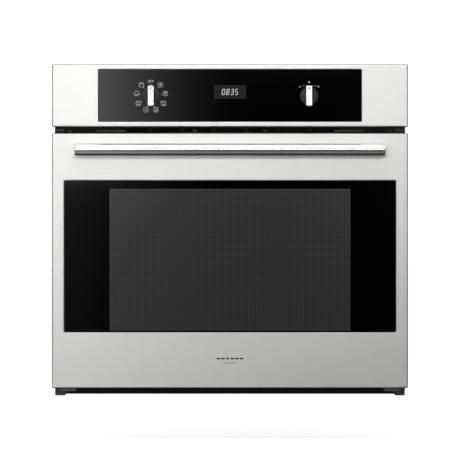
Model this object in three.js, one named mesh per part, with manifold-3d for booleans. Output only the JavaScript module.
// A built-in electric wall oven with a drop-down door, two dial knobs and a clock.
// Millimetres, +Z up, the face looks along -Y and +X is to the right of a person in front of it.
// The origin is under the middle of the oven, on the surface that it stands on.
import * as THREE from "three";
import { mergeVertices } from "three/addons/utils/BufferGeometryUtils.js";
import Module from "manifold-3d";

const wasm = await Module();
wasm.setup();

// ---------------------------------------------------------------- driving dimensions

// Clearance between touching pieces, the sheet that most of the casing is folded from, how far the
// sides of a folded sheet run into each other, and how far from flat two neighbouring facets may be
// and still count as one face.
const GAP = 0.3;
const SHEET = 1;
const LAP = 0.5;
const FLATNESS = 0.003;

// The face: fascia above, air gap, door below, and the dark trim under the door.
const FACE_HALF = 378;
const FACE_TOP = 705;
const FASCIA_BOTTOM = 571.5;
const DOOR_TOP = 558.2;
const DOOR_BOTTOM = 16.4;
const DOOR_HEIGHT = DOOR_TOP - DOOR_BOTTOM;
const TRIM_BOTTOM = 3.7;

// Depths. The handle's front is as far in front of the origin as the cable gland is behind it.
const HALF_DEPTH = 324;
const HANDLE_REACH = 56;
const FACE_Y = HANDLE_REACH - HALF_DEPTH;
const DOOR_THICKNESS = 36;
const FLANGE_Y = -226;
const FRAME_FRONT = FLANGE_Y - 2;
const REAR_Y = 320;

// The casing behind the flange.
const FRAME_HALF = 373;
const FRAME_TOP = 700;
const CASE_HALF = 355;
const CASE_TOP = 697.5;
const PAN_Z = 12;
const PAN_HALF = 353.2;
const SKID_INNER = 312;
const SKID_OUTER = 346;
const SKID_FRONT = -60;
const SKID_BACK = 310;
const PANEL_BOTTOM = PAN_Z + SHEET + GAP;
const PANEL_TOP = CASE_TOP - SHEET - GAP;
const GLAND_X = -265;
const GLAND_Z = 560;

// Openings in the front frame: the bay for the controls, and the holes for the cabinet screws.
const BAY_HALF = 335;
const BAY_BOTTOM = 584;
const BAY_TOP = 690;
const CABINET_SCREW_X = 364;
const CABINET_SCREW_Z = [120, 530];

// The baking chamber: inside half width, floor, ceiling, back wall, wall thickness, corner radius.
const CAVITY_HALF = 300;
const CAVITY_FLOOR = 95;
const CAVITY_CEILING = 500;
const CAVITY_BACK = 204;
const CAVITY_WALL = 1.2;
const CAVITY_RADIUS = 25;
const JACKET_THICKNESS = 28;
const JACKET_CLEARANCE = 0.6;
const JACKET_BACK = CAVITY_BACK + CAVITY_WALL + GAP + 30;
const JACKET_TOP = CAVITY_CEILING + CAVITY_WALL + JACKET_CLEARANCE + 30;

// Door hinge: the pivot line, and the middle of each hinge across the door.
const PIVOT_Y = -252;
const PIVOT_Z = 30;
const HINGE_X = 344;
const CHANNEL_HALF = 15;
const ARM_HALF = 3;
const PIN_RADIUS = 3.5;
const CHANNEL_TOP = 108;

// Glass window in the door, and the panes behind it.
const WINDOW_HALF = 352.5;
const WINDOW_BOTTOM = 118.9;
const WINDOW_TOP = 441.5;
const GLASS = 4;

// Handle.
const BAR_RADIUS = 12.75;
const BAR_HALF = 324;
const CAP_LENGTH = 5;
const BAR_Z = 522.6;
const POST_X = 300;
const POST_RADIUS = 9;

// Control panel: glass, knobs, display.
const CONTROL_HALF = 279.5;
const CONTROL_BOTTOM = 582.9;
const CONTROL_TOP = 693.6;
const KNOB_X = 168;
const KNOB_Z = 637;
const KNOB_RADIUS = 19;
const BLADE_HALF_WIDTH = 6.8;
const BLADE_HALF_LENGTH = 21.6;
const KNOB_REACH = 24;
const SHAFT_RADIUS = 3;
const DISPLAY_HALF = 35;
const DISPLAY_BOTTOM = 630.5;
const DISPLAY_TOP = 661;

// Racks and the ladders that carry them.
const LADDER_X = 294;
const RAIL_X = 289.5;
const RAIL_FRONT = -190;
const RAIL_BACK = 155;
const RACK_LEVELS = [150, 215, 280, 345, 410];
const RAIL_PITCH = 12;
const RACK_X = 286;
const RACK_FRONT = -186;
const RACK_BACK = 148;

// Fans and heating elements: the sheet baffle in front of the rear fan, the ring element's plane
// and where its legs start, the holes that legs and shafts pass through.
const BAFFLE_HALF = 225;
const BAFFLE_BOTTOM = 140;
const BAFFLE_TOP = 430;
const BAFFLE_FRONT = 160;
const RING_Y = 184;
const FAN_Z = 285;
const RING_LEG_Z = FAN_Z - 98;
const LEG_HOLE_RADIUS = 4.5;
const MOTOR_SHAFT_RADIUS = 3.5;
const FAN_RADIUS = 78;
const FAN_BLADES = 10;
const RING_RADIUS = 100;
const ELEMENT_RADIUS = 3.3;
const ELEMENT_BACK = 245;
const BROIL_Z = 484;
const BAKE_Z = 87.5;
const BROIL_LEG_X = 40;
const BAKE_LEG_X = 60;
const RING_LEG_X = 20;
const LAMP_X = 255;
const SENSOR_X = -255;
const CORNER_Z = 455;

// Cooling air: a flat duct that ends in the gap over the door, and a cross-flow blower behind it.
const DUCT_HALF = 240;
const DUCT_BOTTOM = 552;
const DUCT_TOP = 576;
const DUCT_BACK = 120;
const BLOWER_HALF = 150;
const BLOWER_MOUTH_HALF = 140;
const BLOWER_Y = 170;
const BLOWER_Z = 590;
const ROTOR_RADIUS = 38;
const ROTOR_BLADES = 10;

// ---------------------------------------------------------------- finishes

function finish(color, roughness, metalness) {
  return new THREE.MeshStandardMaterial({ color, roughness, metalness });
}

const stainless = finish(0xd4d3d1, 0.35, 1);
const galvanised = finish(0xa9adb0, 0.5, 1);
const blackSteel = finish(0x17181a, 0.5, 0.3);
const darkTrim = finish(0x303134, 0.55, 0.2);
const enamel = finish(0x23262b, 0.3, 0);
const blackGlass = finish(0x08090a, 0.08, 0);
const clearGlass = finish(0x9fa8a6, 0.05, 0);
const blackPlastic = finish(0x121214, 0.45, 0);
const wool = finish(0xc9c2ad, 0.95, 0);
const gasketCord = finish(0x35373a, 0.9, 0);
const chromeWire = finish(0xc9cdd0, 0.2, 1);
const heaterTube = finish(0x4b4a48, 0.55, 0.8);
const ceramicWhite = finish(0xe6e0d2, 0.5, 0);
const aluminium = finish(0xb9bdc1, 0.45, 1);
const board = finish(0x1d5b3a, 0.6, 0);

// ---------------------------------------------------------------- solids

function solidOf(geometry) {
  geometry.deleteAttribute("normal");
  geometry.deleteAttribute("uv");
  const merged = mergeVertices(geometry, 1e-4);
  return new wasm.Manifold(new wasm.Mesh({
    numProp: 3,
    vertProperties: merged.attributes.position.array,
    triVerts: Uint32Array.from(merged.index.array),
  }));
}

// Flat faces that several pieces made together are merged into one before the mesh is taken.
function geometryOf(solid) {
  const mesh = solid.asOriginal().simplify(FLATNESS).getMesh();
  const geometry = new THREE.BufferGeometry();
  geometry.setAttribute("position", new THREE.BufferAttribute(new Float32Array(mesh.vertProperties), 3));
  geometry.setIndex(new THREE.BufferAttribute(new Uint32Array(mesh.triVerts), 1));
  geometry.computeVertexNormals();
  return geometry;
}

// Puts each vertex of a unit-sided shape exactly on the low or the high limit along one axis (0, 1 or 2),
// so that faces meant to be flush are flush to the last digit.
function snap(geometry, axis, [low, high]) {
  const position = geometry.attributes.position;
  for (let index = 0; index < position.count; index += 1) {
    const offset = index * 3 + axis;
    position.array[offset] = position.array[offset] > 0 ? high : low;
  }
}

// A box from its limits along each axis.
function block(x, y, z) {
  const geometry = new THREE.BoxGeometry(1, 1, 1);
  snap(geometry, 0, x);
  snap(geometry, 1, y);
  snap(geometry, 2, z);
  return solidOf(geometry);
}

// A round bar between two points.
function rod(from, to, radius, sides = 16) {
  const start = new THREE.Vector3(...from);
  const end = new THREE.Vector3(...to);
  const along = end.clone().sub(start);
  const geometry = new THREE.CylinderGeometry(radius, radius, along.length(), sides);
  const turn = new THREE.Quaternion().setFromUnitVectors(new THREE.Vector3(0, 1, 0), along.normalize());
  geometry.applyQuaternion(turn);
  const middle = start.add(end).multiplyScalar(0.5);
  geometry.translate(middle.x, middle.y, middle.z);
  return solidOf(geometry);
}

// An outline drawn in X and Z, made into a plate between two limits along Y.
function plate(outline, y, curveSegments = 4) {
  const geometry = new THREE.ExtrudeGeometry(outline, { depth: 1, bevelEnabled: false, curveSegments });
  geometry.translate(0, 0, -0.5);
  geometry.rotateX(Math.PI / 2);
  snap(geometry, 1, y);
  return solidOf(geometry);
}

function polygon(points) {
  return new THREE.Shape(points.map(([x, z]) => new THREE.Vector2(x, z)));
}

function roundedRectangle(half, [z0, z1], radius) {
  const shape = new THREE.Shape();
  shape.moveTo(-half + radius, z0);
  shape.lineTo(half - radius, z0);
  shape.absarc(half - radius, z0 + radius, radius, -Math.PI / 2, 0);
  shape.lineTo(half, z1 - radius);
  shape.absarc(half - radius, z1 - radius, radius, 0, Math.PI / 2);
  shape.lineTo(-half + radius, z1);
  shape.absarc(-half + radius, z1 - radius, radius, Math.PI / 2, Math.PI);
  shape.lineTo(-half, z0 + radius);
  shape.absarc(-half + radius, z0 + radius, radius, Math.PI, 1.5 * Math.PI);
  return shape;
}

// A flat ring between two rounded rectangles.
function ring(outer, inner, y) {
  const [y0, y1] = y;
  return plate(outer, y).subtract(plate(inner, [y0 - 1, y1 + 1]));
}

// A solid of revolution about the line through (x, z) along Y; the profile is [radius, y] pairs.
function turned(profile, x, z, segments = 24) {
  const points = profile.map(([radius, y]) => new THREE.Vector2(radius, y));
  const geometry = new THREE.LatheGeometry(points, segments);
  geometry.translate(x, 0, z);
  return solidOf(geometry);
}

// A bent round tube through points, in one flat plane of constant z.
function bentTube(points, z, radius, steps, sides = 6) {
  const section = new THREE.Shape();
  section.absarc(0, 0, radius, 0, 2 * Math.PI);
  const stops = points.map(([x, y]) => new THREE.Vector3(x, y, z));
  const path = new THREE.CatmullRomCurve3(stops, false, "centripetal");
  const geometry = new THREE.ExtrudeGeometry(section, { steps, extrudePath: path, curveSegments: sides / 2 });
  return solidOf(geometry);
}

function join(solids) {
  return solids.reduce((whole, solid) => whole.add(solid));
}

function cut(whole, solids) {
  return solids.reduce((rest, solid) => rest.subtract(solid), whole);
}

// Limits along X of a piece that lies from inner to outer on one side, side being -1 or 1.
function across(side, inner, outer) {
  return side < 0 ? [-outer, -inner] : [inner, outer];
}

function add(parent, name, solid, material) {
  const mesh = new THREE.Mesh(geometryOf(solid), material);
  mesh.name = name;
  parent.add(mesh);
}

const SIDES = [["left", -1], ["right", 1]];

// ---------------------------------------------------------------- casing

function frontFrame() {
  const y = [FRAME_FRONT, FLANGE_Y];
  const through = [FRAME_FRONT - 1, FLANGE_Y + 1];
  const sheet = plate(roundedRectangle(FRAME_HALF, [DOOR_BOTTOM + GAP, FRAME_TOP], 4), y, 2);
  const mouth = roundedRectangle(CAVITY_HALF, [CAVITY_FLOOR, CAVITY_CEILING], CAVITY_RADIUS);
  const chamber = plate(mouth, through);
  const airOutlet = block([-DUCT_HALF + 4, DUCT_HALF - 4], through, [DOOR_TOP, FASCIA_BOTTOM]);
  const controlBay = block([-BAY_HALF, BAY_HALF], through, [BAY_BOTTOM, BAY_TOP]);
  const openings = [chamber, airOutlet, controlBay];
  for (const [, side] of SIDES) {
    openings.push(block(across(side, HINGE_X - 6, HINGE_X + 6), through, [20, 46]));
    const x = side * CABINET_SCREW_X;
    for (const z of CABINET_SCREW_Z) {
      openings.push(rod([x, through[0], z], [x, through[1], z], 2.5, 8));
    }
  }
  return cut(sheet, openings);
}

function sidePanel(side) {
  const z = [PANEL_BOTTOM, PANEL_TOP];
  const y = [FLANGE_Y + GAP, REAR_Y - SHEET - GAP];
  const skin = block(across(side, CASE_HALF - SHEET, CASE_HALF), y, z);
  const frontLip = block(across(side, 350, CASE_HALF), [y[0], y[0] + SHEET], z);
  const rearLip = block(across(side, 336, CASE_HALF), [y[1] - SHEET, y[1]], z);
  const topLip = block(across(side, 340, CASE_HALF), y, [z[1] - SHEET, z[1]]);
  const slots = [];
  for (let row = 0; row < 4; row += 1) {
    const slotZ = 612 + row * 16;
    slots.push(block(across(side, CASE_HALF - 3, CASE_HALF + 1), [120, 270], [slotZ, slotZ + 5]));
  }
  return cut(join([skin, frontLip, rearLip, topLip]), slots);
}

function topCover() {
  const cover = block([-CASE_HALF, CASE_HALF], [FLANGE_Y + GAP, REAR_Y], [CASE_TOP - SHEET, CASE_TOP]);
  const slots = [];
  for (let row = -3; row <= 3; row += 1) {
    const y = BLOWER_Y + row * 14;
    slots.push(block([-130, 130], [y, y + 5], [CASE_TOP - 5, CASE_TOP + 1]));
  }
  return cut(cover, slots);
}

function rearPanel() {
  const y = [REAR_Y - SHEET, REAR_Y];
  const through = [REAR_Y - 5, REAR_Y + 1];
  const panel = block([-CASE_HALF, CASE_HALF], y, [PANEL_BOTTOM, PANEL_TOP]);
  const cuts = [rod([GLAND_X, through[0], GLAND_Z], [GLAND_X, through[1], GLAND_Z], 11, 16)];
  for (let column = -4; column <= 4; column += 1) {
    const x = column * 24;
    cuts.push(block([x - 4, x + 4], through, [FAN_Z - 70, FAN_Z + 70]));
  }
  return cut(panel, cuts);
}

// The pan under the oven, folded with two flat-bottomed skids that it stands on.
function basePan() {
  const depth = [FLANGE_Y + GAP, REAR_Y - SHEET - GAP];
  const pieces = [block([-PAN_HALF, PAN_HALF], depth, [PAN_Z, PAN_Z + SHEET])];
  const y = [SKID_FRONT, SKID_BACK];
  const z = [0, PAN_Z + LAP];
  for (const [, side] of SIDES) {
    pieces.push(block(across(side, SKID_INNER, SKID_OUTER), y, [0, SHEET]));
    pieces.push(block(across(side, SKID_INNER, SKID_INNER + SHEET), y, z));
    pieces.push(block(across(side, SKID_OUTER - SHEET, SKID_OUTER), y, z));
  }
  return join(pieces);
}

// The dark strip under the door, with a lip that goes back under the pan.
function bottomTrim() {
  const face = block([-348, 348], [-233, -233 + SHEET], [TRIM_BOTTOM, DOOR_BOTTOM - GAP]);
  const lip = block([-348, 348], [-233, -190], [PAN_Z - GAP - SHEET, PAN_Z - GAP]);
  return face.add(lip);
}

// The end of the side flange at each bottom corner, with a chamfer on its inner lower edge.
function trimFoot(side) {
  const top = DOOR_BOTTOM - GAP;
  const outline = [[351.7, 0], [372.5, 0], [372.5, top], [348.3, top], [348.3, TRIM_BOTTOM]];
  return plate(polygon(outline.map(([x, z]) => [side * x, z])), [-233, FLANGE_Y - GAP]);
}

// ---------------------------------------------------------------- baking chamber

// Each [x, z, radius] is a hole through the back wall for a shaft, heater leg, lamp or sensor.
const BACK_HOLES = [
  [0, FAN_Z, 7],
  [-BROIL_LEG_X, BROIL_Z, LEG_HOLE_RADIUS],
  [BROIL_LEG_X, BROIL_Z, LEG_HOLE_RADIUS],
  [-RING_LEG_X, RING_LEG_Z, LEG_HOLE_RADIUS],
  [RING_LEG_X, RING_LEG_Z, LEG_HOLE_RADIUS],
  [LAMP_X, CORNER_Z, 19],
  [SENSOR_X, CORNER_Z, 3.5],
];

function backHoles(extraRadius, from, to) {
  return BACK_HOLES.map(([x, z, radius]) => rod([x, from, z], [x, to, z], radius + extraRadius, 12));
}

function ovenCavity() {
  const inside = [CAVITY_FLOOR, CAVITY_CEILING];
  const outside = [CAVITY_FLOOR - CAVITY_WALL, CAVITY_CEILING + CAVITY_WALL];
  const front = FLANGE_Y + GAP;
  const flange = plate(roundedRectangle(330, [78, 517], 10), [front, front + SHEET], 2);
  const outline = roundedRectangle(CAVITY_HALF + CAVITY_WALL, outside, CAVITY_RADIUS + CAVITY_WALL);
  const shell = plate(outline, [front, CAVITY_BACK + CAVITY_WALL]);
  const hollow = plate(roundedRectangle(CAVITY_HALF, inside, CAVITY_RADIUS), [front - 1, CAVITY_BACK]);
  return cut(flange.add(shell), [hollow, ...backHoles(0, CAVITY_BACK - 2, CAVITY_BACK + 5)]);
}

// Mineral wool round the chamber, deeper below it, where the hidden lower element lies.
function insulationJacket() {
  const wall = CAVITY_WALL + JACKET_CLEARANCE;
  const outerHalf = CAVITY_HALF + CAVITY_WALL + JACKET_THICKNESS;
  const floor = CAVITY_FLOOR - 14;
  const outer = block([-outerHalf, outerHalf], [-222, JACKET_BACK], [floor - 29, JACKET_TOP]);
  const innerHalf = CAVITY_HALF + wall;
  const back = CAVITY_BACK + wall;
  const inner = block([-innerHalf, innerHalf], [-223, back], [floor, CAVITY_CEILING + wall]);
  const holes = backHoles(0.5, back - 5, JACKET_BACK + 1);
  for (const x of [-BAKE_LEG_X, BAKE_LEG_X]) {
    holes.push(rod([x, back - 5, BAKE_Z], [x, JACKET_BACK + 1, BAKE_Z], LEG_HOLE_RADIUS, 12));
  }
  return cut(outer, [inner, ...holes]);
}

function doorGasket() {
  const outer = roundedRectangle(CAVITY_HALF + 13, [CAVITY_FLOOR - 13, CAVITY_CEILING + 13], 35);
  const inner = roundedRectangle(CAVITY_HALF + 4, [CAVITY_FLOOR - 4, CAVITY_CEILING + 4], 27);
  return ring(outer, inner, [FRAME_FRONT - 3.6, FRAME_FRONT - GAP]);
}

// Two posts, a pair of rails at each level, and studs that hold the ladder off the wall.
function rackLadder(side) {
  const bars = [];
  for (const y of [-178, 143]) {
    bars.push(block(across(side, LADDER_X - 3, LADDER_X + 3), [y - 3, y + 3], [128, 440]));
    for (const z of [RACK_LEVELS[0] - 16, RACK_LEVELS[4] + 20]) {
      bars.push(block(across(side, LADDER_X, CAVITY_HALF - GAP), [y - 3, y + 3], [z - 3, z + 3]));
    }
  }
  for (const level of RACK_LEVELS) {
    for (const z of [level, level + RAIL_PITCH]) {
      bars.push(block(across(side, RAIL_X - 2.5, RAIL_X + 2.5), [RAIL_FRONT, RAIL_BACK], [z - 2.5, z + 2.5]));
    }
  }
  return join(bars);
}

// The sheet cover over the rear fan: intake slots in its middle, outlets in its sides.
function fanBaffle() {
  const x = BAFFLE_HALF;
  const z = [BAFFLE_BOTTOM, BAFFLE_TOP];
  const y = [BAFFLE_FRONT, CAVITY_BACK - GAP];
  const outer = block([-x, x], y, z);
  const inner = block([-x + SHEET, x - SHEET], [y[0] + SHEET, y[1] + 1], [z[0] + SHEET, z[1] - SHEET]);
  const cuts = [inner];
  for (let row = -4; row <= 4; row += 1) {
    const half = Math.sqrt(75 ** 2 - (row * 16) ** 2);
    const slotZ = FAN_Z + row * 16;
    cuts.push(block([-half, half], [y[0] - 1, y[0] + 3], [slotZ - 4, slotZ + 4]));
  }
  for (const [, side] of SIDES) {
    for (let row = -2; row <= 2; row += 1) {
      const slotZ = FAN_Z + row * 50;
      cuts.push(block(across(side, x - 3, x + 1), [172, 194], [slotZ - 16, slotZ + 16]));
    }
  }
  return cut(outer, cuts);
}

function convectionElement() {
  const section = [];
  for (let corner = 0; corner <= 8; corner += 1) {
    const angle = (corner % 8) * Math.PI / 4;
    section.push([RING_RADIUS + ELEMENT_RADIUS * Math.cos(angle), RING_Y + ELEMENT_RADIUS * Math.sin(angle)]);
  }
  const legs = [-RING_LEG_X, RING_LEG_X].map((x) => (
    rod([x, RING_Y, RING_LEG_Z], [x, ELEMENT_BACK, RING_LEG_Z], ELEMENT_RADIUS, 8)
  ));
  return join([turned(section, 0, FAN_Z, 28), ...legs]);
}

// One half of a heater's route, mirrored for the other half.
function mirroredRoute(half) {
  return [...half, ...half.map(([x, y]) => [-x, y]).reverse()];
}

function broilElement() {
  const route = mirroredRoute([
    [-BROIL_LEG_X, ELEMENT_BACK], [-BROIL_LEG_X, 190], [-BROIL_LEG_X, 150], [-58, 124],
    [-190, 120], [-214, 100], [-214, -100], [-196, -120], [-146, -120], [-128, -100],
    [-128, 50], [-110, 72], [-60, 72], [-42, 50], [-42, -100], [-24, -120],
  ]);
  return bentTube(route, BROIL_Z, ELEMENT_RADIUS, 72);
}

function bakeElement() {
  const route = mirroredRoute([
    [-BAKE_LEG_X, ELEMENT_BACK], [-BAKE_LEG_X, 195], [-BAKE_LEG_X, 160], [-80, 140],
    [-190, 140], [-220, 110], [-220, -110], [-190, -140], [-60, -140],
  ]);
  return bentTube(route, BAKE_Z, ELEMENT_RADIUS, 44);
}

function lampLens() {
  const back = CAVITY_BACK - GAP;
  const outside = [[0, 178], [10, 179], [20, 184], [24, 194], [24, back]];
  const inside = [[21, back], [21, 195], [17.5, 187], [9, 182], [0, 181]];
  return turned([...outside, ...inside, outside[0]], LAMP_X, CORNER_Z, 20);
}

function lampHolder() {
  const at = (y) => [LAMP_X, y, CORNER_Z];
  const barrel = rod(at(199), at(262), 17.5, 16);
  const flange = rod(at(JACKET_BACK + GAP), at(JACKET_BACK + 2.5), 27, 16);
  return barrel.add(flange).subtract(rod(at(198), at(212), 12, 12));
}

function temperatureSensor() {
  const back = CAVITY_BACK - GAP;
  const probe = rod([SENSOR_X, 128, CORNER_Z], [SENSOR_X, ELEMENT_BACK, CORNER_Z], 2.5, 10);
  const foot = block([SENSOR_X - 14, SENSOR_X + 14], [back - SHEET, back], [CORNER_Z - 7, CORNER_Z + 7]);
  return probe.add(foot);
}

// ---------------------------------------------------------------- fans

function convectionMotor() {
  const front = JACKET_BACK + GAP;
  const foot = block([-55, 55], [front, front + 2], [FAN_Z - 55, FAN_Z + 55]);
  const can = rod([0, front + 1, FAN_Z], [0, front + 52, FAN_Z], 40, 20);
  const boss = rod([0, front + 51, FAN_Z], [0, front + 60, FAN_Z], 12, 12);
  const bore = rod([0, front - 1, FAN_Z], [0, front + 32, FAN_Z], MOTOR_SHAFT_RADIUS + 1, 12);
  return join([foot, can, boss]).subtract(bore);
}

// A blade: a box from its limits along each axis, turned about a line through the origin.
function blade([x0, x1], [y0, y1], [z0, z1], turns) {
  const geometry = new THREE.BoxGeometry(x1 - x0, y1 - y0, z1 - z0);
  geometry.translate((x0 + x1) / 2, (y0 + y1) / 2, (z0 + z1) / 2);
  turns(geometry);
  return solidOf(geometry);
}

// Shaft, hub, back disc and blades, about the line x = 0, z = 0 along Y.
function convectionFan() {
  const disc = rod([0, 194, 0], [0, 195.5, 0], FAN_RADIUS, 24);
  const hub = rod([0, 174, 0], [0, 197, 0], 12, 12);
  const shaft = rod([0, 196, 0], [0, JACKET_BACK + 28, 0], MOTOR_SHAFT_RADIUS, 10);
  const blades = [];
  for (let index = 0; index < FAN_BLADES; index += 1) {
    const turn = index * 2 * Math.PI / FAN_BLADES;
    blades.push(blade([26, FAN_RADIUS - 2], [174, 195], [-0.8, 0.8], (geometry) => geometry.rotateY(turn)));
  }
  return join([disc, hub, shaft, ...blades]);
}

function blowerHousing() {
  const x = [-BLOWER_HALF, BLOWER_HALF];
  const y = [DUCT_BACK + GAP, BLOWER_Y + 50];
  const z = [DUCT_BOTTOM - 8, BLOWER_Z + 50];
  const inside = (limits) => [limits[0] + SHEET, limits[1] - SHEET];
  const shell = block(x, y, z).subtract(block(inside(x), inside(y), inside(z)));
  const mouth = [-BLOWER_MOUTH_HALF, BLOWER_MOUTH_HALF];
  const outlet = block(mouth, [y[0] - 1, y[0] + 3], [DUCT_BOTTOM + 2, DUCT_TOP - 2]);
  const inlet = block(mouth, [BLOWER_Y - 32, BLOWER_Y + 32], [z[1] - 3, z[1] + 1]);
  const bearing = rod([-BLOWER_HALF - 1, BLOWER_Y, BLOWER_Z], [BLOWER_HALF + 1, BLOWER_Y, BLOWER_Z], 5, 12);
  const feet = [-120, 120].map((footX) => (
    block([footX - 15, footX + 15], [BLOWER_Y - 20, BLOWER_Y + 20], [JACKET_TOP + GAP, z[0] + LAP])
  ));
  return cut(join([shell, ...feet]), [outlet, inlet, bearing]);
}

function coolingMotor() {
  const x = BLOWER_HALF + GAP;
  const at = (offset) => [x + offset, BLOWER_Y, BLOWER_Z];
  const foot = block([x, x + 2], [BLOWER_Y - 40, BLOWER_Y + 40], [BLOWER_Z - 36, BLOWER_Z + 36]);
  const can = rod(at(1), at(46), 33, 20);
  return foot.add(can).subtract(rod(at(-1), at(30), MOTOR_SHAFT_RADIUS + 1, 12));
}

// Cross-flow rotor about the line y = 0, z = 0 along X.
function coolingRotor() {
  const shaft = rod([-BLOWER_HALF + 0.5, 0, 0], [BLOWER_HALF + 24, 0, 0], MOTOR_SHAFT_RADIUS, 10);
  const discs = [-136, 0, 134].map((x) => rod([x, 0, 0], [x + 2, 0, 0], ROTOR_RADIUS, 20));
  const blades = [];
  for (let index = 0; index < ROTOR_BLADES; index += 1) {
    const turn = index * 2 * Math.PI / ROTOR_BLADES;
    const y = [26, ROTOR_RADIUS - 1.5];
    blades.push(blade([-135, 135], y, [-0.7, 0.7], (geometry) => geometry.rotateX(turn)));
  }
  return join([shaft, ...discs, ...blades]);
}

function airDuct() {
  const outer = block([-DUCT_HALF, DUCT_HALF], [FLANGE_Y + GAP, DUCT_BACK], [DUCT_BOTTOM, DUCT_TOP]);
  const inner = block(
    [-DUCT_HALF + SHEET, DUCT_HALF - SHEET],
    [FLANGE_Y - 1, DUCT_BACK + 1],
    [DUCT_BOTTOM + SHEET, DUCT_TOP - SHEET],
  );
  const feet = [];
  for (const [, side] of SIDES) {
    for (const y of [-150, 60]) {
      feet.push(block(across(side, 200, 230), [y, y + 20], [JACKET_TOP + GAP, DUCT_BOTTOM + LAP]));
    }
  }
  return join([outer, ...feet]).subtract(inner);
}

// The louvred strip in the air gap between fascia and door.
function ventTrim() {
  const y = [-238, FRAME_FRONT - GAP];
  const strip = block([-370, 370], y, [560, FASCIA_BOTTOM - GAP]);
  const slots = [];
  for (let column = -3; column <= 3; column += 1) {
    const x = column * 68;
    slots.push(block([x - 29, x + 29], [y[0] - 1, y[1] + 1], [562, 569]));
  }
  return cut(strip, slots);
}

// ---------------------------------------------------------------- controls

function controlFascia() {
  const z = [FASCIA_BOTTOM, FACE_TOP];
  const back = FLANGE_Y - 1;
  const window = roundedRectangle(CONTROL_HALF + 0.5, [CONTROL_BOTTOM - 0.5, CONTROL_TOP + 0.5], 3);
  const face = ring(roundedRectangle(FACE_HALF, z, 2), window, [FACE_Y, FACE_Y + SHEET]);
  const wide = [-FACE_HALF + LAP, FACE_HALF - LAP];
  const top = block(wide, [FACE_Y + LAP, back], [FACE_TOP - SHEET, FACE_TOP]);
  const bottom = block(wide, [FACE_Y + LAP, -240], [z[0], z[0] + SHEET]);
  const ends = SIDES.map(([, side]) => (
    block(across(side, FACE_HALF - SHEET, FACE_HALF), [FACE_Y + LAP, back], [z[0] + LAP, FACE_TOP - LAP])
  ));
  return join([face, top, bottom, ...ends]);
}

function controlGlass() {
  const outline = roundedRectangle(CONTROL_HALF, [CONTROL_BOTTOM, CONTROL_TOP], 2.5);
  const pane = plate(outline, [FACE_Y, FACE_Y + GLASS]);
  const holes = [-KNOB_X, KNOB_X].map((x) => rod([x, FACE_Y - 1, KNOB_Z], [x, FACE_Y + 6, KNOB_Z], 4.5, 12));
  return cut(pane, holes);
}

// The moulded tray behind the glass: a pocket for the glass, a rim that the fascia holds,
// and walls and pegs for the board.
function controlCarrier() {
  const seat = FACE_Y + GLASS + GAP;
  const wallBack = FACE_Y + 24;
  const rim = block([-300, 300], [FACE_Y + SHEET + GAP, seat + 2], [574, 702.5]);
  const pocket = block([-281, 281], [FACE_Y, seat], [CONTROL_BOTTOM - 1.5, CONTROL_TOP + 1.5]);
  const wallOuter = block([-276, 276], [seat + 1, wallBack], [587, 690]);
  const wallInner = block([-274, 274], [seat + 2, wallBack + 1], [589, 688]);
  const pegs = [];
  for (const x of [-240, -90, 90, 240]) {
    pegs.push(rod([x, seat + 1, 610], [x, FACE_Y + 15.7, 610], 3, 8));
  }
  const holes = [-KNOB_X, KNOB_X].map((x) => rod([x, FACE_Y, KNOB_Z], [x, seat + 3, KNOB_Z], 8, 12));
  const displayHalf = DISPLAY_HALF + 1;
  const displayZ = [DISPLAY_BOTTOM - 1, DISPLAY_TOP + 1];
  const display = block([-displayHalf, displayHalf], [FACE_Y, seat + 3], displayZ);
  return join([cut(rim.add(wallOuter.subtract(wallInner)), [pocket, ...holes, display]), ...pegs]);
}

function displayModule() {
  const y = [FACE_Y + GLASS + GAP, FACE_Y + 15];
  return block([-DISPLAY_HALF, DISPLAY_HALF], y, [DISPLAY_BOTTOM, DISPLAY_TOP]);
}

function controlBoard() {
  const y = [FACE_Y + 16, FACE_Y + 17.6];
  const sheet = block([-266, 266], y, [598, 680]);
  const parts = [
    block([-110, -60], [y[1] - 0.5, y[1] + 12], [650, 664]),
    block([-20, 20], [y[1] - 0.5, y[1] + 4], [615, 650]),
    block([70, 100], [y[1] - 0.5, y[1] + 9], [612, 632]),
  ];
  const holes = [-KNOB_X, KNOB_X].map((x) => rod([x, y[0] - 1, KNOB_Z], [x, y[1] + 1, KNOB_Z], 8, 12));
  return cut(join([sheet, ...parts]), holes);
}

// A rotary switch or encoder: a box behind the board and a bush that the shaft runs in.
function rotaryUnit(x, half, depth) {
  const front = FACE_Y + 18;
  const body = block([x - half, x + half], [front, front + depth], [KNOB_Z - half, KNOB_Z + half]);
  const bush = rod([x, FACE_Y + 8, KNOB_Z], [x, front + 1, KNOB_Z], 6.5, 12);
  const bore = rod([x, FACE_Y + 7, KNOB_Z], [x, front + 8, KNOB_Z], SHAFT_RADIUS + 0.6, 12);
  return body.add(bush).subtract(bore);
}

function powerBoard() {
  const z = DUCT_TOP + GAP + 12;
  const pieces = [
    block([40, 220], [-60, 90], [z, z + 1.6]),
    block([60, 108], [-40, 5], [z + 1, z + 42]),
    block([190, 214], [-50, 80], [z + 1, z + 14]),
  ];
  for (let relay = 0; relay < 3; relay += 1) {
    const y = 20 + relay * 22;
    pieces.push(block([60, 90], [y, y + 16], [z + 1, z + 20]));
  }
  for (const x of [46, 214]) {
    for (const y of [-54, 84]) {
      pieces.push(block([x - 3, x + 3], [y - 3, y + 3], [DUCT_TOP + GAP, z + 0.5]));
    }
  }
  return join(pieces);
}

function terminalBlock() {
  const back = REAR_Y - SHEET - GAP;
  const body = block([-302, -228], [back - 36, back], [600, 634]);
  const ways = [];
  for (let way = 0; way < 4; way += 1) {
    const x = -293 + way * 18;
    ways.push(block([x - 5, x + 5], [back - 37, back - 22], [606, 622]));
  }
  return cut(body, ways);
}

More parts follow.
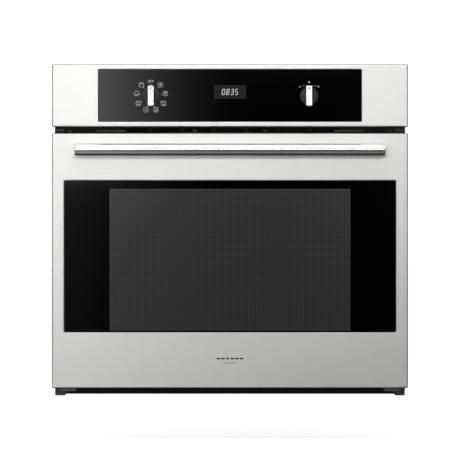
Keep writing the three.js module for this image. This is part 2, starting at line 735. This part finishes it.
// The gland that the supply lead would enter by, in the rear panel.
function cableGland() {
  const at = (y) => [GLAND_X, y, GLAND_Z];
  const barrel = rod(at(REAR_Y - 16), at(REAR_Y + 1), 10, 16);
  const head = rod(at(REAR_Y + GAP), at(HALF_DEPTH), 14, 16);
  const nut = rod(at(REAR_Y - 8), at(REAR_Y - SHEET - GAP), 14, 6);
  return join([barrel, head, nut]).subtract(rod(at(REAR_Y - 17), at(HALF_DEPTH + 1), 6.5, 12));
}

// About the knob's own centre: y = 0 is the front of the control glass. A raised pad stands
// on each side of the channel that the blade lies in.
function knobBase() {
  const disc = rod([0, -9, 0], [0, -1, 0], KNOB_RADIUS, 32);
  const shaft = rod([0, -2, 0], [0, 25, 0], SHAFT_RADIUS, 12);
  const limit = rod([0, -12, 0], [0, -1, 0], KNOB_RADIUS, 32);
  const pads = SIDES.map(([, side]) => (
    block(across(side, BLADE_HALF_WIDTH + 2.8, KNOB_RADIUS), [-11, -8], [-18, 18]).intersect(limit)
  ));
  return join([disc, shaft, ...pads]);
}

function knobBlade() {
  const outline = roundedRectangle(BLADE_HALF_WIDTH, [-BLADE_HALF_LENGTH, BLADE_HALF_LENGTH], 4);
  const pointer = block([-1.4, 1.4], [-KNOB_REACH - 1, -KNOB_REACH + 1.2], [13.5, 18]);
  return plate(outline, [-KNOB_REACH, -9 - GAP]).subtract(pointer);
}

// ---------------------------------------------------------------- hinges

// The part of the hinge that stays with the oven: a receiver box behind the frame,
// and an arm through the frame with the pivot pin at its end.
function hingeBracket(side) {
  const box = block(across(side, HINGE_X - 10, HINGE_X + 5.7), [FLANGE_Y + GAP, -172], [16, 50]);
  const hollow = block(across(side, HINGE_X - 8.5, HINGE_X + 4.2), [FLANGE_Y - 1, -173.5], [17.5, 48.5]);
  const armX = across(side, HINGE_X - ARM_HALF, HINGE_X + ARM_HALF);
  const arm = block(armX, [PIVOT_Y, -173], [PIVOT_Z - 6, PIVOT_Z + 6]);
  const at = (x) => [side * x, PIVOT_Y, PIVOT_Z];
  const pinHalf = CHANNEL_HALF + 1.5;
  const eye = rod(at(HINGE_X - ARM_HALF), at(HINGE_X + ARM_HALF), 7, 16);
  const pin = rod(at(HINGE_X - pinHalf), at(HINGE_X + pinHalf), PIN_RADIUS, 12);
  return join([box.subtract(hollow), arm, eye, pin]);
}

// The channel in the door that turns on the pin; its web ends in a tab below the door.
function hingeChannel(side) {
  const front = PIVOT_Y - FACE_Y - 9;
  const back = PIVOT_Y - FACE_Y + 9;
  const x0 = HINGE_X - CHANNEL_HALF;
  const x1 = HINGE_X + CHANNEL_HALF;
  const outline = [
    [x0, CHANNEL_TOP], [x1, CHANNEL_TOP], [x1, 0], [x1 + 3, 0], [x1, -6.2], [x0, -6.2], [x0 - 4, 0], [x0, 0],
  ];
  const web = plate(polygon(outline.map(([x, z]) => [side * x, z])), [front, front + SHEET]);
  const z = [1.9, CHANNEL_TOP];
  const cheeks = [
    block(across(side, x0, x0 + SHEET), [front, back], z),
    block(across(side, x1 - SHEET, x1), [front, back], z),
  ];
  const pivotZ = PIVOT_Z - DOOR_BOTTOM;
  const pivotY = PIVOT_Y - FACE_Y;
  const at = (x) => [side * x, pivotY, pivotZ];
  const bore = rod(at(x0 - 1), at(x1 + 1), PIN_RADIUS + 0.5, 12);
  return join([web, ...cheeks]).subtract(bore);
}

// ---------------------------------------------------------------- door

// Door pieces are about the bottom edge of the door's front face: y = 0 is that face.
const PANEL_DEPTH = 26;
const CARRIER_Y = GLASS + 0.4 + GAP;
const MIDDLE_GLASS_Y = 14;
const INNER_GLASS_Y = DOOR_THICKNESS - SHEET - GAP - GLASS;
const INNER_BOTTOM = 8;
const INNER_TOP = DOOR_HEIGHT - 13.5;

function doorOuterPanel() {
  const window = roundedRectangle(WINDOW_HALF + 0.5, [WINDOW_BOTTOM - 0.5, WINDOW_TOP + 0.5], 4);
  const face = ring(roundedRectangle(FACE_HALF, [0, DOOR_HEIGHT], 2), window, [0, SHEET]);
  const wide = [-FACE_HALF + LAP, FACE_HALF - LAP];
  const high = [LAP, DOOR_HEIGHT - LAP];
  const y = [LAP, PANEL_DEPTH];
  const returns = [
    block(wide, y, [DOOR_HEIGHT - SHEET, DOOR_HEIGHT]),
    block(wide, y, [0, SHEET]),
    ...SIDES.map(([, side]) => block(across(side, FACE_HALF - SHEET, FACE_HALF), y, high)),
  ];
  const notches = SIDES.map(([, side]) => (
    block(across(side, 324.5, 362.5), [6.5, PANEL_DEPTH + 1], [-1, SHEET + 1])
  ));
  return cut(join([face, ...returns]), notches);
}

function pane(half, z, y) {
  return plate(roundedRectangle(half, z, 3.5), [y, y + GLASS], 2);
}

// The galvanised frame behind the outer glass, with a pocket at its back for the middle pane.
function glassCarrier() {
  const sheet = block([-374, 374], [CARRIER_Y, CARRIER_Y + SHEET], [110, 536]);
  const walls = block([-309, 309], [CARRIER_Y, INNER_GLASS_Y - 1], [111, 449]);
  const view = block([-300, 300], [0, 40], [120, 440]);
  const pocket = block([-304.4, 304.4], [MIDDLE_GLASS_Y - GAP, 40], [115.6, 444.4]);
  return cut(sheet.add(walls), [view, pocket]);
}

function doorInnerFrame() {
  const half = 372;
  const y = [DOOR_THICKNESS - SHEET, DOOR_THICKNESS];
  const outline = roundedRectangle(half, [INNER_BOTTOM, INNER_TOP], 4);
  const face = ring(outline, roundedRectangle(262, [125, 435], 12), y);
  const z = [INNER_BOTTOM + 2, INNER_TOP - 2];
  const returnY = [PANEL_DEPTH + GAP, y[1] - 0.5];
  const returns = [
    block([-half + 2, half - 2], returnY, [INNER_BOTTOM, INNER_BOTTOM + SHEET]),
    block([-half + 2, half - 2], returnY, [INNER_TOP - SHEET, INNER_TOP]),
    block([half - SHEET, half], returnY, z),
    block([-half, -half + SHEET], returnY, z),
  ];
  const slotY = [PANEL_DEPTH - 1, DOOR_THICKNESS + 1];
  const slots = SIDES.map(([, side]) => (
    block(across(side, HINGE_X - 8, HINGE_X + 8), slotY, [INNER_BOTTOM - 1, 30])
  ));
  return cut(join([face, ...returns]), slots);
}

function doorTopTrim() {
  const strip = block([-374, 374], [PANEL_DEPTH + GAP, DOOR_THICKNESS], [INNER_TOP + GAP, DOOR_HEIGHT - 1]);
  const slots = [];
  for (let column = -5; column <= 5; column += 1) {
    const x = column * 62;
    const slotY = [PANEL_DEPTH + 3, DOOR_THICKNESS - 3];
    slots.push(block([x - 24, x + 24], slotY, [INNER_TOP - 1, DOOR_HEIGHT + 1]));
  }
  return cut(strip, slots);
}

const BAR_Y = BAR_RADIUS - HANDLE_REACH;
const BAR_HEIGHT = BAR_Z - DOOR_BOTTOM;

// A bar along X on the handle's own line.
function lengthwise(from, to, radius, sides) {
  return rod([from, BAR_Y, BAR_HEIGHT], [to, BAR_Y, BAR_HEIGHT], radius, sides);
}

function handleBar() {
  const tube = lengthwise(-BAR_HALF, BAR_HALF, BAR_RADIUS, 28);
  return tube.subtract(lengthwise(-BAR_HALF - 1, BAR_HALF + 1, BAR_RADIUS - 2, 20));
}

function handleCap(side) {
  const cap = lengthwise(side * (BAR_HALF + GAP), side * (BAR_HALF + CAP_LENGTH), BAR_RADIUS, 28);
  const plug = lengthwise(side * (BAR_HALF - 12), side * (BAR_HALF + 1), BAR_RADIUS - 2.6, 16);
  return cap.add(plug);
}

function handlePost(side) {
  const post = rod([side * POST_X, BAR_Y, BAR_HEIGHT], [side * POST_X, -GAP, BAR_HEIGHT], POST_RADIUS, 16);
  return post.subtract(lengthwise(-BAR_HALF, BAR_HALF, BAR_RADIUS + GAP, 28));
}

// ---------------------------------------------------------------- racks

// A wire rack about its own level: z = 0 is the middle of its frame.
function rack() {
  const x = [-RACK_X - 3, RACK_X + 3];
  const y = [RACK_FRONT, RACK_BACK];
  const frame = block(x, y, [-3, 3]).subtract(block([x[0] + 6, x[1] - 6], [y[0] + 6, y[1] - 6], [-4, 4]));
  const bars = [block([x[0] + 5, x[1] - 5], [-22, -16], [-3, 3])];
  for (let wire = -6; wire <= 6; wire += 1) {
    bars.push(block([wire * 42 - 2, wire * 42 + 2], [y[0] + 5, y[1] - 5], [-2, 2]));
  }
  return join([frame, ...bars]);
}

// ---------------------------------------------------------------- the oven

function group(x, y, z) {
  const placed = new THREE.Group();
  placed.position.set(x, y, z);
  return placed;
}

const oven = new THREE.Group();

add(oven, "front_frame", frontFrame(), blackSteel);
for (const [name, side] of SIDES) {
  add(oven, `${name}_side_panel`, sidePanel(side), galvanised);
}
add(oven, "top_cover", topCover(), galvanised);
add(oven, "rear_panel", rearPanel(), galvanised);
add(oven, "base_pan", basePan(), galvanised);
add(oven, "bottom_trim", bottomTrim(), blackSteel);
for (const [name, side] of SIDES) {
  add(oven, `${name}_trim_foot`, trimFoot(side), darkTrim);
  add(oven, `${name}_hinge_bracket`, hingeBracket(side), galvanised);
}

add(oven, "oven_cavity", ovenCavity(), enamel);
add(oven, "insulation_jacket", insulationJacket(), wool);
add(oven, "door_gasket", doorGasket(), gasketCord);
for (const [name, side] of SIDES) {
  add(oven, `${name}_rack_ladder`, rackLadder(side), chromeWire);
}
add(oven, "fan_baffle", fanBaffle(), enamel);
add(oven, "convection_element", convectionElement(), heaterTube);
add(oven, "broil_element", broilElement(), heaterTube);
add(oven, "bake_element", bakeElement(), heaterTube);
add(oven, "lamp_lens", lampLens(), clearGlass);
add(oven, "lamp_holder", lampHolder(), ceramicWhite);
add(oven, "temperature_sensor", temperatureSensor(), stainless);

add(oven, "convection_motor", convectionMotor(), galvanised);
add(oven, "blower_housing", blowerHousing(), galvanised);
add(oven, "cooling_motor", coolingMotor(), galvanised);
add(oven, "air_duct", airDuct(), galvanised);
add(oven, "vent_trim", ventTrim(), blackPlastic);

add(oven, "control_fascia", controlFascia(), stainless);
add(oven, "control_glass", controlGlass(), blackGlass);
add(oven, "control_carrier", controlCarrier(), blackPlastic);
add(oven, "display_module", displayModule(), blackPlastic);
add(oven, "control_board", controlBoard(), board);
add(oven, "function_switch", rotaryUnit(-KNOB_X, 20, 28), blackPlastic);
add(oven, "value_encoder", rotaryUnit(KNOB_X, 15, 12), blackPlastic);
add(oven, "power_board", powerBoard(), board);
add(oven, "terminal_block", terminalBlock(), ceramicWhite);
add(oven, "cable_gland", cableGland(), blackPlastic);

const rearFan = group(0, 0, FAN_Z);
add(rearFan, "convection_fan", convectionFan(), aluminium);
const crossFlowRotor = group(0, BLOWER_Y, BLOWER_Z);
add(crossFlowRotor, "cooling_rotor", coolingRotor(), aluminium);
oven.add(rearFan, crossFlowRotor);

for (const [name, x] of [["function_knob", -KNOB_X], ["value_knob", KNOB_X]]) {
  const knob = group(x, FACE_Y, KNOB_Z);
  add(knob, `${name}_base`, knobBase(), blackPlastic);
  add(knob, `${name}_blade`, knobBlade(), stainless);
  oven.add(knob);
}

for (const [name, level] of [["lower_rack", RACK_LEVELS[1]], ["upper_rack", RACK_LEVELS[3]]]) {
  const shelf = group(0, 0, level + RAIL_PITCH / 2);
  add(shelf, name, rack(), chromeWire);
  oven.add(shelf);
}

const door = group(0, FACE_Y, DOOR_BOTTOM);
add(door, "door_outer_panel", doorOuterPanel(), stainless);
add(door, "door_outer_glass", pane(WINDOW_HALF, [WINDOW_BOTTOM, WINDOW_TOP], 0.4), blackGlass);
add(door, "glass_carrier", glassCarrier(), galvanised);
add(door, "door_middle_glass", pane(304, [116, 444], MIDDLE_GLASS_Y), clearGlass);
add(door, "door_inner_glass", pane(282, [114, 446], INNER_GLASS_Y), clearGlass);
add(door, "door_inner_frame", doorInnerFrame(), enamel);
add(door, "door_top_trim", doorTopTrim(), blackSteel);
add(door, "handle_bar", handleBar(), stainless);
for (const [name, side] of SIDES) {
  add(door, `${name}_handle_cap`, handleCap(side), stainless);
  add(door, `${name}_handle_post`, handlePost(side), stainless);
  add(door, `${name}_hinge_channel`, hingeChannel(side), galvanised);
}
oven.add(door);

export default oven;
